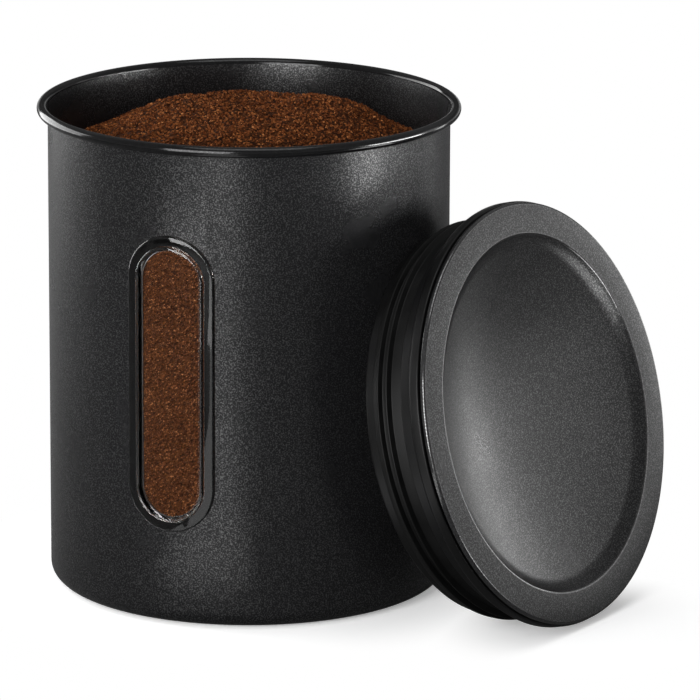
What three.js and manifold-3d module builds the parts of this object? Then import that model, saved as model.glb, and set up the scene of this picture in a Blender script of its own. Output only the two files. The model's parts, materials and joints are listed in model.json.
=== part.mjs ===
// Coffee canister: a powder-coated steel can with a tall clear window and a rolled rim,
// and its pressed steel lid with a moulded plug and a silicone seal.
// The lid is off: it stands on its edge beside the can and leans on the can's wall.
// Units are millimetres and degrees. +Z is up, the window looks along -Y, and the
// origin is the centre of the underside, on the surface that the can stands on.
import * as THREE from 'three';
import { mergeVertices } from 'three/addons/utils/BufferGeometryUtils.js';
import Module from 'manifold-3d';

const wasm = await Module();
wasm.setup();

// Driving sizes: can
const BODY_RADIUS = 65; // outside of the steel tube
const CAN_HEIGHT = 158; // underside to the crest of the rolled rim
const CAN_SHEET = 0.7; // steel sheet of the tube and its rim
const CURL_RADIUS = 2.1; // outside radius of the rolled rim
const CURL_MOUTH = 0.5; // gap left between the end of the curl and the wall
const FOOT_ROUND = 5; // outside radius of the bottom edge
const FOOT_FLANGE = 3; // width of the flat ring turned in under the can
const BASE_SHEET = 0.8; // steel sheet of the base panel

// Driving sizes: window
const SLOT_WIDTH = 24; // opening cut in the wall
const SLOT_HEIGHT = 91;
const WINDOW_Z = 79.5; // height of the window's middle
const PANE_OVERLAP = 3; // how far the pane's flange laps over the wall
const PANE_FLANGE = 1.2; // thickness of that flange
const PANE_CROWN = 0.4; // how far the middle of the pane stands above its flange
const PANE_WALL = 2; // moulded wall of the pane
const RETAINER_SHEET = 1.5; // thickness of the frame that clamps the pane from inside
const RETAINER_WIDTH = 3; // width of that frame
const GASKET_SHEET = 0.8; // gasket between the frame and the wall
const GASKET_WIDTH = 2.2;
const PANE_TAIL = 0.4; // how far the pane's rim passes the frame

// Driving sizes: lid
const LID_SHEET = 0.7; // steel sheet of the lid's top
const LID_OVERHANG = 2.7; // edge of the top past the can's tube
const LID_EDGE_ROUND = 0.6; // outer edge of the top
const LID_HEM = 1.1; // depth of the top's turned-down edge
const DISH_CLEARANCE = 0.5; // hollow pressed in the top, inside the plug's bore
const DISH_LIP_ROUND = 1.2; // edge between the flat border and the hollow
const DISH_WALL_DEG = 45; // steepest slope of the hollow's wall
const DISH_WALL_ROUND = 12; // curve from that slope to the floor
const DISH_FLOOR_ROUND = 168; // wide curve of the floor
const SKIRT_LEDGE = 0.7; // how far the skirt, the lid's widest part, stands out past the top
const SKIRT_BACK = 6.2; // face of the lid to the shoulder that sits on the rim
const SKIRT_ROUND = 1.4;
const PLUG_CLEARANCE = 0.35; // plug in the mouth of the can
const PLUG_LAND_BACK = 11.9; // face of the lid to the end of the plug's land
const PLUG_WALL = 2.3;
const PLUG_FLOOR = 2;
const PLUG_DEPTH = 27; // face of the lid to the plug's underside
const PLUG_FLANGE_STEP = 1.65; // flange below the seal, in from the plug's land
const PLUG_FLANGE_HEIGHT = 4.3;
const PLUG_ROUND = 1.2;
const SEAL_SEAT_STEP = 3.15; // seat of the seal, in from the plug's land
const SEAL_BODY = 1.7; // thickness of the seal's sleeve
const SEAL_SQUEEZE = 0.3; // how far a free lip stands out past the mouth's radius
const LIP_TIP = 0.5; // thickness of the thin lip at its edge
const LIP_ROOT = 1.8; // and at its root
const LIP_BACK = 17; // face of the lid to the middle of the thin lip
const BAND_HEIGHT = 2.3; // broad lip at the seal's lower end
const BAND_LEAD = 0.5; // rise of the broad lip's upper side towards its root
const BAND_TAPER = 0.6; // how far it narrows to its lower end

// Driving sizes: how the lid leans
const LID_LEAN_DEG = 14.95; // tilt of the lid from upright
const LID_FACING_DEG = 78.3; // way the lid's face looks, from -Y towards +X
const LID_SIDESTEP = 12.3; // middle of the lid, sideways of the can's axis
const SEAT_GAP = 0.3; // clearance between seated pieces

// Fineness of round shapes
const TURN_STEPS = 48;
const ARC_STEPS = 3;
const END_STEPS = 12;

// Sizes that follow from them
const MOUTH_RADIUS = BODY_RADIUS - CAN_SHEET;
const CURL_RING = MOUTH_RADIUS + CURL_RADIUS;
const CURL_Z = CAN_HEIGHT - CURL_RADIUS;
const LAND_RADIUS = MOUTH_RADIUS - PLUG_CLEARANCE;
const LIP_RADIUS = MOUTH_RADIUS + SEAL_SQUEEZE;
const LID_TOP_RADIUS = BODY_RADIUS + LID_OVERHANG;
const SKIRT_RADIUS = LID_TOP_RADIUS + SKIRT_LEDGE;
const PLUG_FLANGE_RADIUS = LAND_RADIUS - PLUG_FLANGE_STEP;
const SEAL_SEAT_RADIUS = LAND_RADIUS - SEAL_SEAT_STEP;
const PLUG_BORE = SEAL_SEAT_RADIUS - PLUG_WALL;
const DISH_RADIUS = PLUG_BORE - DISH_CLEARANCE;
const RAD = Math.PI / 180;

// A solid of revolution about Z from a closed outline of (radius, height).
// An outline that reaches the axis starts and ends on it.
function turned(outline) {
  const points = outline.getPoints(ARC_STEPS);
  const geometry = new THREE.LatheGeometry(points, TURN_STEPS);
  geometry.rotateX(Math.PI / 2);
  return closed(geometry);
}

// Shared corners merged, flat triangles dropped and faces turned outwards.
function closed(geometry) {
  geometry.deleteAttribute('normal');
  geometry.deleteAttribute('uv');
  const merged = mergeVertices(geometry, 1e-4);
  const at = merged.attributes.position;
  const all = merged.index.array;
  const a = new THREE.Vector3();
  const b = new THREE.Vector3();
  const c = new THREE.Vector3();
  let kept = [];
  let volume = 0;
  for (let i = 0; i < all.length; i += 3) {
    const corner = [all[i], all[i + 1], all[i + 2]];
    if (new Set(corner).size < 3) continue;
    kept.push(corner);
    a.fromBufferAttribute(at, corner[0]);
    b.fromBufferAttribute(at, corner[1]);
    c.fromBufferAttribute(at, corner[2]);
    volume += a.dot(b.cross(c));
  }
  if (volume < 0) kept = kept.map(([p, q, r]) => [p, r, q]);
  merged.setIndex(kept.flat());
  return merged;
}

function toManifold(geometry) {
  return new wasm.Manifold(new wasm.Mesh({
    numProp: 3,
    vertProperties: new Float32Array(geometry.attributes.position.array),
    triVerts: new Uint32Array(geometry.index.array),
  }));
}

function fromManifold(solid) {
  const mesh = solid.getMesh();
  const geometry = new THREE.BufferGeometry();
  geometry.setAttribute('position', new THREE.BufferAttribute(mesh.vertProperties, 3));
  geometry.setIndex(new THREE.BufferAttribute(mesh.triVerts, 1));
  return geometry;
}

// A tall round-ended bar that runs from the can's axis out through the wall at the window.
function windowBar(width, height) {
  const outline = new THREE.Shape();
  const half = width / 2;
  const straight = (height - width) / 2;
  outline.moveTo(half, -straight);
  outline.lineTo(half, straight);
  outline.absarc(0, straight, half, 0, Math.PI, false);
  outline.lineTo(-half, -straight);
  outline.absarc(0, -straight, half, Math.PI, 2 * Math.PI, false);
  const bar = new THREE.ExtrudeGeometry(outline, {
    depth: 2 * BODY_RADIUS,
    bevelEnabled: false,
    curveSegments: END_STEPS,
  });
  bar.rotateX(Math.PI / 2);
  bar.translate(0, 0, WINDOW_Z);
  return toManifold(closed(bar));
}

// A ring about the can's axis, as tall as the window and its flange.
function windowShell(inner, outer) {
  const half = SLOT_HEIGHT / 2 + PANE_OVERLAP + RETAINER_WIDTH;
  const ring = new THREE.Path();
  ring.moveTo(inner, WINDOW_Z - half);
  ring.lineTo(outer, WINDOW_Z - half);
  ring.lineTo(outer, WINDOW_Z + half);
  ring.lineTo(inner, WINDOW_Z + half);
  ring.closePath();
  return toManifold(turned(ring));
}

// A round-ended frame of the wall's own curve: between two outlines and two radii.
function windowFrame(width, margin, inner, outer) {
  const hole = windowBar(SLOT_WIDTH + 2 * margin, SLOT_HEIGHT + 2 * margin);
  const edge = margin + width;
  return windowBar(SLOT_WIDTH + 2 * edge, SLOT_HEIGHT + 2 * edge)
    .intersect(windowShell(inner, outer))
    .subtract(hole);
}

// Steel tube with its bottom edge turned in, its top edge rolled out and the window cut.
function canWall() {
  const turn = BODY_RADIUS - FOOT_ROUND;
  const inside = CURL_RADIUS - CAN_SHEET;
  const reach = BODY_RADIUS + CURL_MOUTH - CURL_RING;
  const end = -Math.acos(THREE.MathUtils.clamp(reach / CURL_RADIUS, -1, 1));
  const tip = new THREE.Vector2(Math.cos(end), Math.sin(end)).multiplyScalar(CURL_RADIUS);
  const wall = new THREE.Path();
  wall.moveTo(turn - FOOT_FLANGE, 0);
  wall.lineTo(turn, 0);
  wall.absarc(turn, FOOT_ROUND, FOOT_ROUND, -Math.PI / 2, 0, false);
  wall.lineTo(BODY_RADIUS, CURL_Z);
  wall.absarc(CURL_RING, CURL_Z, inside, Math.PI, 0, true);
  wall.absarc(CURL_RING, CURL_Z, inside, 0, end, true);
  wall.lineTo(CURL_RING + tip.x, CURL_Z + tip.y);
  wall.absarc(CURL_RING, CURL_Z, CURL_RADIUS, end, 0, false);
  wall.absarc(CURL_RING, CURL_Z, CURL_RADIUS, 0, Math.PI, false);
  wall.lineTo(MOUTH_RADIUS, FOOT_ROUND);
  wall.absarc(turn, FOOT_ROUND, FOOT_ROUND - CAN_SHEET, 0, -Math.PI / 2, true);
  wall.lineTo(turn - FOOT_FLANGE, CAN_SHEET);
  wall.closePath();
  const slot = windowBar(SLOT_WIDTH, SLOT_HEIGHT);
  return fromManifold(toManifold(turned(wall)).subtract(slot));
}

// Pressed base: its border lies on the turned-in foot and its middle is flush with the foot.
function basePanel() {
  const border = BODY_RADIUS - FOOT_ROUND;
  const step = border - FOOT_FLANGE - SEAT_GAP;
  const seat = CAN_SHEET + SEAT_GAP;
  const panel = new THREE.Path();
  panel.moveTo(0, 0);
  panel.lineTo(step, 0);
  panel.lineTo(step, seat);
  panel.lineTo(border, seat);
  panel.lineTo(border, seat + BASE_SHEET);
  panel.lineTo(step - BASE_SHEET, seat + BASE_SHEET);
  panel.lineTo(step - BASE_SHEET, BASE_SHEET);
  panel.lineTo(0, BASE_SHEET);
  return turned(panel);
}

// Where the pieces behind the wall lie, as radii from the can's axis.
const GASKET_OUTER = MOUTH_RADIUS - SEAT_GAP;
const GASKET_INNER = GASKET_OUTER - GASKET_SHEET;
const RETAINER_OUTER = GASKET_INNER - SEAT_GAP;
const RETAINER_INNER = RETAINER_OUTER - RETAINER_SHEET;
const PANE_INNER = RETAINER_INNER - PANE_TAIL;

// Clear pane: a flange outside the wall and a hollow body that fills the slot.
function windowPane() {
  const back = BODY_RADIUS + SEAT_GAP;
  const face = back + PANE_FLANGE;
  const flange = windowBar(SLOT_WIDTH + 2 * PANE_OVERLAP, SLOT_HEIGHT + 2 * PANE_OVERLAP)
    .intersect(windowShell(back, face));
  const body = windowBar(SLOT_WIDTH - 2 * SEAT_GAP, SLOT_HEIGHT - 2 * SEAT_GAP)
    .intersect(windowShell(PANE_INNER, face + PANE_CROWN));
  const inset = 2 * (SEAT_GAP + PANE_WALL);
  const hollow = windowBar(SLOT_WIDTH - inset, SLOT_HEIGHT - inset)
    .intersect(windowShell(PANE_INNER - PANE_WALL, face + PANE_CROWN - PANE_WALL));
  return fromManifold(flange.add(body).subtract(hollow));
}

function windowGasket() {
  return fromManifold(windowFrame(GASKET_WIDTH, 0, GASKET_INNER, GASKET_OUTER));
}

function windowRetainer() {
  return fromManifold(windowFrame(RETAINER_WIDTH, 0, RETAINER_INNER, RETAINER_OUTER));
}

// The lid's pieces are drawn with its face at height 0 and its plug below.

// The hollow is one bowl: a small round lip, a curved wall and a wide curved floor.
const DISH_TILT = DISH_WALL_DEG * RAD;
const DISH_ARCS = DISH_LIP_ROUND + DISH_WALL_ROUND;
const DISH_WALL_RADIUS = DISH_RADIUS - DISH_ARCS * Math.sin(DISH_TILT);
const DISH_WALL_Z = DISH_ARCS * Math.cos(DISH_TILT) - DISH_LIP_ROUND;
const FLOOR_REACH = DISH_FLOOR_ROUND - DISH_WALL_ROUND;
const FLOOR_TILT = Math.asin(DISH_WALL_RADIUS / FLOOR_REACH);
const DISH_FLOOR_Z = DISH_WALL_Z + FLOOR_REACH * Math.cos(FLOOR_TILT);

// Draws that bowl, sunk by offset below the visible surface, to the axis or away from it.
function dishWall(outline, offset, inwards) {
  const lip = DISH_LIP_ROUND - offset;
  const wall = DISH_WALL_ROUND + offset;
  const floor = DISH_FLOOR_ROUND + offset;
  const top = Math.PI / 2;
  if (inwards) {
    outline.absarc(DISH_RADIUS, -DISH_LIP_ROUND, lip, top, top + DISH_TILT, false);
    outline.absarc(DISH_WALL_RADIUS, DISH_WALL_Z, wall, DISH_TILT - top, FLOOR_TILT - top, true);
    outline.absarc(0, DISH_FLOOR_Z, floor, FLOOR_TILT - top, -top, true);
  } else {
    outline.absarc(0, DISH_FLOOR_Z, floor, -top, FLOOR_TILT - top, false);
    outline.absarc(DISH_WALL_RADIUS, DISH_WALL_Z, wall, FLOOR_TILT - top, DISH_TILT - top, false);
    outline.absarc(DISH_RADIUS, -DISH_LIP_ROUND, lip, top + DISH_TILT, top, true);
  }
}

// Pressed steel top with a flat border, a soft round hollow and a turned-down edge.
function lidTop() {
  const hem = LID_TOP_RADIUS - LID_SHEET;
  const round = LID_TOP_RADIUS - LID_EDGE_ROUND;
  const top = new THREE.Path();
  dishWall(top, LID_SHEET, false);
  top.lineTo(hem, -LID_SHEET);
  top.lineTo(hem, -LID_HEM);
  top.lineTo(LID_TOP_RADIUS, -LID_HEM);
  top.absarc(round, -LID_EDGE_ROUND, LID_EDGE_ROUND, 0, Math.PI / 2, false);
  dishWall(top, 0, true);
  return turned(top);
}

// Moulded plug: a wide skirt under the top, a land that guides it into the mouth,
// a seat for the seal, a flange that keeps the seal on, and a floor.
const SKIRT_TOP = -LID_SHEET - SEAT_GAP;
const SEAL_TOP = -PLUG_LAND_BACK - SEAT_GAP;
const FLANGE_TOP = PLUG_FLANGE_HEIGHT - PLUG_DEPTH;
const SEAL_FOOT = FLANGE_TOP + SEAT_GAP;

function lidPlug() {
  const inside = LID_TOP_RADIUS - LID_SHEET - SEAT_GAP;
  const ledge = -LID_HEM - SEAT_GAP;
  const shoulder = SKIRT_RADIUS - SKIRT_ROUND;
  const edge = SKIRT_RADIUS - LID_EDGE_ROUND;
  const corner = PLUG_FLANGE_RADIUS - PLUG_ROUND;
  const plug = new THREE.Path();
  plug.moveTo(0, -PLUG_DEPTH);
  plug.lineTo(corner, -PLUG_DEPTH);
  plug.absarc(corner, PLUG_ROUND - PLUG_DEPTH, PLUG_ROUND, -Math.PI / 2, 0, false);
  plug.lineTo(PLUG_FLANGE_RADIUS, FLANGE_TOP);
  plug.lineTo(SEAL_SEAT_RADIUS, FLANGE_TOP);
  plug.lineTo(SEAL_SEAT_RADIUS, -PLUG_LAND_BACK);
  plug.lineTo(LAND_RADIUS, -PLUG_LAND_BACK);
  plug.lineTo(LAND_RADIUS, -SKIRT_BACK);
  plug.lineTo(shoulder, -SKIRT_BACK);
  plug.absarc(shoulder, SKIRT_ROUND - SKIRT_BACK, SKIRT_ROUND, -Math.PI / 2, 0, false);
  plug.lineTo(SKIRT_RADIUS, ledge - LID_EDGE_ROUND);
  plug.absarc(edge, ledge - LID_EDGE_ROUND, LID_EDGE_ROUND, 0, Math.PI / 2, false);
  plug.lineTo(inside, ledge);
  plug.lineTo(inside, SKIRT_TOP);
  plug.lineTo(PLUG_BORE, SKIRT_TOP);
  plug.lineTo(PLUG_BORE, PLUG_FLOOR - PLUG_DEPTH);
  plug.lineTo(0, PLUG_FLOOR - PLUG_DEPTH);
  return turned(plug);
}

// Silicone sleeve on the plug, with a thin lip and a broad lip that squeeze into the mouth.
function lidSeal() {
  const inner = SEAL_SEAT_RADIUS + SEAT_GAP;
  const body = inner + SEAL_BODY;
  const band = SEAL_FOOT + BAND_HEIGHT;
  const seal = new THREE.Path();
  seal.moveTo(inner, SEAL_FOOT);
  seal.lineTo(LIP_RADIUS - BAND_TAPER, SEAL_FOOT);
  seal.lineTo(LIP_RADIUS, band);
  seal.lineTo(body, band + BAND_LEAD);
  seal.lineTo(body, -LIP_BACK - LIP_ROOT / 2);
  seal.lineTo(LIP_RADIUS, -LIP_BACK - LIP_TIP / 2);
  seal.lineTo(LIP_RADIUS, -LIP_BACK + LIP_TIP / 2);
  seal.lineTo(body, -LIP_BACK + LIP_ROOT / 2);
  seal.lineTo(body, SEAL_TOP);
  seal.lineTo(inner, SEAL_TOP);
  seal.closePath();
  return turned(seal);
}

// Edges that the lid can stand or lean on: radius and depth of the edge's middle, and its round.
const LID_EDGES = [
  [SKIRT_RADIUS - SKIRT_ROUND, SKIRT_BACK - SKIRT_ROUND, SKIRT_ROUND],
  [PLUG_FLANGE_RADIUS - PLUG_ROUND, PLUG_DEPTH - PLUG_ROUND, PLUG_ROUND],
  [LIP_RADIUS, LIP_BACK + LIP_TIP / 2, 0],
  [LIP_RADIUS, -SEAL_FOOT - BAND_HEIGHT, 0],
  [LIP_RADIUS - BAND_TAPER, -SEAL_FOOT, 0],
];

// Place of the lid: it stands on its lowest edge and leans on the can's wall.
function lidPlace() {
  const lean = LID_LEAN_DEG * RAD;
  const facing = LID_FACING_DEG * RAD;
  let height = 0;
  let distance = 0;
  for (const [radius, back, round] of LID_EDGES) {
    height = Math.max(height, radius * Math.cos(lean) + back * Math.sin(lean) + round);
    const reach = BODY_RADIUS + SEAT_GAP + round;
    for (let turn = 0; turn < 360; turn += 1) {
      const across = LID_SIDESTEP + radius * Math.cos(turn * RAD);
      if (Math.abs(across) >= reach) continue;
      const behind = back * Math.cos(lean) + radius * Math.sin(lean) * Math.sin(turn * RAD);
      distance = Math.max(distance, Math.sqrt(reach ** 2 - across ** 2) + behind);
    }
  }
  const out = new THREE.Vector3(Math.sin(facing), -Math.cos(facing), 0);
  const side = new THREE.Vector3(Math.cos(facing), Math.sin(facing), 0);
  const centre = out.clone().multiplyScalar(distance).addScaledVector(side, LID_SIDESTEP);
  centre.z = height;
  const face = out.clone().multiplyScalar(Math.cos(lean));
  face.z = Math.sin(lean);
  const up = new THREE.Vector3().crossVectors(face, side);
  return new THREE.Matrix4().makeBasis(side, up, face).setPosition(centre);
}

// Finishes
const COATED_STEEL = { color: 0x2b2b2c, roughness: 0.55, metalness: 0.35 };
const BARE_BASE = { color: 0x2a2a2b, roughness: 0.6, metalness: 0.35 };
const CLEAR_PLASTIC = { color: 0xdfe4e6, roughness: 0.05, metalness: 0, transparent: true, opacity: 0.3 };
const BLACK_PLASTIC = { color: 0x1b1b1c, roughness: 0.45, metalness: 0 };
const BLACK_SILICONE = { color: 0x171717, roughness: 0.7, metalness: 0 };

function piece(name, geometry, finish) {
  const mesh = new THREE.Mesh(geometry, new THREE.MeshStandardMaterial(finish));
  mesh.name = name;
  return mesh;
}

const can = new THREE.Group();
can.add(piece('can_wall', canWall(), COATED_STEEL));
can.add(piece('base_panel', basePanel(), BARE_BASE));
can.add(piece('window_pane', windowPane(), CLEAR_PLASTIC));
can.add(piece('window_gasket', windowGasket(), BLACK_SILICONE));
can.add(piece('window_retainer', windowRetainer(), BLACK_PLASTIC));

const lid = new THREE.Group();
lid.add(piece('lid_top', lidTop(), COATED_STEEL));
lid.add(piece('lid_plug', lidPlug(), BLACK_PLASTIC));
lid.add(piece('lid_seal', lidSeal(), BLACK_SILICONE));
lid.applyMatrix4(lidPlace());

const canister = new THREE.Group();
canister.add(can, lid);

export default canister;
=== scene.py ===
# %% [markdown]
# A coffee canister with a window, and its lid
#
# The canister is a round steel can with a fine-textured black powder coat, a rolled rim and a tall clear
# window in front. Its dished lid is off and leans on the can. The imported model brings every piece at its
# real size, so this lesson only has to make those pieces look like the real ones: smooth turned shells
# instead of faceted ones, rounded mouldings, real finishes, ground coffee, light and a camera.

# %% Load the frame
import json
import math

import bmesh
import bpy
from mathutils import Matrix, Vector


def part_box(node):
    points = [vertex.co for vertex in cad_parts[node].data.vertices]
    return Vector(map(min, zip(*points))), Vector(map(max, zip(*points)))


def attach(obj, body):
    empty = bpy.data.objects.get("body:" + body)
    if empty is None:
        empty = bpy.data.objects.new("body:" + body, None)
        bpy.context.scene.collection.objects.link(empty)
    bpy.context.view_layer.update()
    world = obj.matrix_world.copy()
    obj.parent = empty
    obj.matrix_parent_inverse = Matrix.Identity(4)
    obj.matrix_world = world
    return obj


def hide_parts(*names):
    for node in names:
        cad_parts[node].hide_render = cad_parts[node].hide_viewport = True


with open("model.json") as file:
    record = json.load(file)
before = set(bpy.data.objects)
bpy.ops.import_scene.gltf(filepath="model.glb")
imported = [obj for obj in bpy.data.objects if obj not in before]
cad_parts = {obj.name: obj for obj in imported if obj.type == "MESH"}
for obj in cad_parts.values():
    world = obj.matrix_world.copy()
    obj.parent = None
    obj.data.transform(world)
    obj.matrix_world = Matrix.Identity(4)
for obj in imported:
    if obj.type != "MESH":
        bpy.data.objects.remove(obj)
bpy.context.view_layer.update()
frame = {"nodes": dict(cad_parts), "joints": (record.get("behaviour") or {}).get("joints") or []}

# %% [markdown]
# Sizes
#
# Blender works in metres here and a canister is measured in millimetres, so one constant turns one into
# the other. What the frame knows is read from the frame: the can's rim and height, the window's box and
# the lid's place. Only sheet thicknesses and roundings, which a box can't tell, are written down.

# %% Sizes of the can, in mm
MM = 0.001


def size_of(node):
    """Lowest and highest corner of a CAD node, in mm."""
    low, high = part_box(node)
    return low / MM, high / MM


SHEET = 0.7  # steel of the can and the lid
CURL = 1.7  # outside radius of the rolled rim
FLARE = 0.8  # how far the wall opens out just under the roll
FLARE_HEIGHT = 4
CURL_TURN = 295  # how far the sheet is rolled round, in degrees
FOOT_ROUND = 5
FOOT_FLANGE = 3

RIM_RADIUS = size_of("can_wall")[1].x
CAN_HEIGHT = size_of("can_wall")[1].z
CURL_RING = RIM_RADIUS - CURL
MOUTH = CURL_RING - CURL - FLARE
BODY = MOUTH + SHEET
CURL_UP = CAN_HEIGHT - CURL
FOOT = BODY - FOOT_ROUND
print(f"can: body {2 * BODY:.1f} mm across, rim {2 * RIM_RADIUS:.1f} mm, {CAN_HEIGHT:.1f} mm high")

# %% [markdown]
# Where the lid stands
#
# The lid leans, so its pieces are drawn upright about the world's Z axis and then carried to its place by
# one matrix. Its hinge gives the sideways direction, and the hinge's range is a right angle plus the lean.
# The middle of the face comes from the CAD lid: a turned shape has its mean point on its axis.

# %% The lid's own axes
hinge = frame["joints"][0]
lean = math.radians(hinge["range_deg"][1] - 90)
lid_side = Vector(hinge["axis"]).normalized()
lid_face = Vector((lid_side.y, -lid_side.x, 0)) * math.cos(lean) + Vector((0, 0, math.sin(lean)))
lid_up = lid_face.cross(lid_side)
top_points = [v.co for v in frame["nodes"]["lid_top"].data.vertices]
mean_point = sum(top_points, Vector()) / len(top_points)
lid_centre = mean_point + lid_face * max((p - mean_point).dot(lid_face) for p in top_points)
LID_PLACE = Matrix((lid_side, lid_up, lid_face)).transposed().to_4x4()
LID_PLACE.translation = lid_centre


def lid_measure(node):
    """Widest radius, front and back of a lid node along the lid's axis, in mm from its face."""
    home = LID_PLACE.inverted()
    points = [home @ v.co for v in frame["nodes"][node].data.vertices]
    heights = [p.z / MM for p in points]
    return max(math.hypot(p.x, p.y) for p in points) / MM, max(heights), min(heights)


print(f"lid leans {math.degrees(lean):.2f} degrees, face at {[round(c / MM, 1) for c in lid_centre]} mm")

# %% [markdown]
# A pen for turned pieces
#
# Cans, lids and seals are round, so the natural way to make them is a turner's: draw half of the section,
# then spin it about the axis. A bevelled cylinder could come close, but a drawn section gives every step,
# roll and lip its true size. The pen starts as a plane merged to one point, which is extruded along
# straight lines and spun about a centre for arcs.

# %% The pen
WELD = 1e-6
TURN_STEPS = 288


class Pen:
    """Draws a section in mm, across from the axis and up along it, then turns it about that axis."""

    def __init__(self, name, across, up):
        bpy.ops.object.select_all(action="DESELECT")
        bpy.ops.mesh.primitive_plane_add(size=MM)
        self.piece = bpy.context.object
        self.piece.name = name
        self.piece.data.name = name
        bpy.ops.object.mode_set(mode="EDIT")
        bpy.ops.mesh.select_mode(type="VERT")
        bpy.ops.mesh.select_all(action="SELECT")
        bpy.ops.mesh.merge(type="CENTER")
        bpy.ops.transform.translate(value=(across * MM, 0, up * MM))
        self.at = (across, up)

    def line(self, across, up):
        step = ((across - self.at[0]) * MM, 0, (up - self.at[1]) * MM)
        bpy.ops.mesh.extrude_vertices_move(TRANSFORM_OT_translate={"value": step})
        self.at = (across, up)

    def arc(self, across, up, degrees, steps):
        turn = math.radians(degrees)
        bpy.ops.mesh.spin(steps=steps, angle=turn, center=(across * MM, 0, up * MM), axis=(0, 1, 0))
        x, z = self.at[0] - across, self.at[1] - up
        self.at = (
            across + x * math.cos(turn) - z * math.sin(turn),
            up + x * math.sin(turn) + z * math.cos(turn),
        )

    def soften(self, radius, steps):
        bpy.ops.mesh.select_all(action="SELECT")
        bpy.ops.mesh.remove_doubles(threshold=WELD)
        bpy.ops.mesh.bevel(offset=radius * MM, segments=steps, affect="VERTICES")

    def turned(self, steps=TURN_STEPS):
        bpy.ops.mesh.select_all(action="SELECT")
        bpy.ops.mesh.remove_doubles(threshold=WELD)
        bpy.ops.mesh.spin(steps=steps, angle=2 * math.pi, center=(0, 0, 0), axis=(0, 0, 1))
        bpy.ops.mesh.select_all(action="SELECT")
        bpy.ops.mesh.remove_doubles(threshold=WELD)
        bpy.ops.mesh.normals_make_consistent(inside=False)
        bpy.ops.object.mode_set(mode="OBJECT")
        return self.piece


print("pen ready")

# %% [markdown]
# Picking and finishing
#
# By hand one clicks on faces; a script picks them by their place. Every piece is finished the same way: it
# is shaded smooth except at real creases, gets its material, rides on the body that carries it, and hides
# the CAD node it stands for.

# %% Helpers for edit mode and for finishing
CREASE = math.radians(32)


def activate(piece):
    bpy.ops.object.select_all(action="DESELECT")
    piece.select_set(True)
    bpy.context.view_layer.objects.active = piece


def pick(test, faces=False):
    """In edit mode, selects the points, or the faces, whose place passes the test (in mm)."""
    bpy.ops.mesh.select_mode(type="FACE" if faces else "VERT")
    bpy.ops.mesh.select_all(action="DESELECT")
    data = bpy.context.object.data
    mesh = bmesh.from_edit_mesh(data)
    for part in mesh.faces if faces else mesh.verts:
        part.select = test(part.calc_center_median() / MM, part.normal) if faces else test(part.co / MM)
    mesh.select_flush_mode()
    bmesh.update_edit_mesh(data)


def apply_modifier(piece, kind, **settings):
    modifier = piece.modifiers.new(kind.lower(), kind)
    for name, value in settings.items():
        setattr(modifier, name, value)
    activate(piece)
    bpy.ops.object.modifier_apply(modifier=modifier.name)


def move_to_lid(piece):
    piece.matrix_world = LID_PLACE
    activate(piece)
    bpy.ops.object.transform_apply(location=True, rotation=True, scale=True)


def finish_piece(piece, material, body, node=None):
    activate(piece)
    bpy.ops.object.shade_smooth_by_angle(angle=CREASE)
    piece.data.materials.clear()
    piece.data.materials.append(material)
    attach(piece, body)
    if node:
        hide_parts(node)
    print(f"{piece.name}: {len(piece.data.polygons)} faces on {body}")


# %% [markdown]
# Finishes
#
# All finishes are node materials on Object coordinates, which are metres here, so a pattern's scale is one
# over a real size. Colours are the sRGB values one reads off a picture; Blender wants linear light, so one
# function converts them. One more small function adds a node with its settings and links.

# %% Helpers for materials
def linear(hex_colour):
    """An sRGB colour such as '#1c1c1d' as linear RGBA."""
    channels = [int(hex_colour[i : i + 2], 16) / 255 for i in (1, 3, 5)]
    return [c / 12.92 if c <= 0.04045 else ((c + 0.055) / 1.055) ** 2.4 for c in channels] + [1.0]


def per(millimetres):
    """Texture scale whose features are about this many mm across."""
    return 1 / (millimetres * MM)


def add(tree, kind, sockets=None, **settings):
    """Adds a node; sockets maps an input's name or number to a value or to another node's output."""
    node = tree.nodes.new(kind)
    for name, value in settings.items():
        setattr(node, name, value)
    for name, value in (sockets or {}).items():
        if isinstance(value, bpy.types.NodeSocket):
            tree.links.new(value, node.inputs[name])
        else:
            node.inputs[name].default_value = value
    return node


def new_material(name):
    """An empty node material with its output and Object coordinates."""
    material = bpy.data.materials.new(name)
    material.use_nodes = True
    tree = material.node_tree
    tree.nodes.clear()
    place = add(tree, "ShaderNodeTexCoord").outputs["Object"]
    return material, tree, place


def ramp(tree, factor, stops):
    """A colour ramp through (position, colour) stops."""
    node = add(tree, "ShaderNodeValToRGB", {"Fac": factor})
    marks = node.color_ramp.elements
    while len(marks) < len(stops):
        marks.new(0.5)
    for mark, (position, colour) in zip(marks, stops):
        mark.position = position
        mark.color = linear(colour)
    return node.outputs["Color"]


print("material helpers ready")

# %% [markdown]
# Powder coat
#
# The can and the lid's top are sprayed with dry black powder and baked. The powder melts into a hard skin
# with a fine sandy grain, which scatters light into broad soft highlights with tiny glints. Where the
# sheet is rolled or bent, at the rim and round the lid, the skin flows out smoother, so one function makes
# four coats. The real grain would vanish in the picture, so it is drawn a little coarser.

# %% Powder-coated steel
COAT_GRAIN = 0.5  # mm, bumps of the skin
COAT_SPECKLE = 0.42  # mm, glinting specks of the powder, drawn coarser than the real 0.2 so that they show
COAT_CLOUD = 22  # mm, slow change of thickness
GLINT_FROM, GLINT_TO = 0.46, 0.72  # part of the noise where dull skin turns into a glinting speck
GLINT_LOSS = 0.45  # share of the gloss that the dull skin loses
GLINT_GAIN = 1.8  # share of the gloss that a speck gains
MATT_CHANGE = 0.03  # roughness either way, from cloud to cloud


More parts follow.
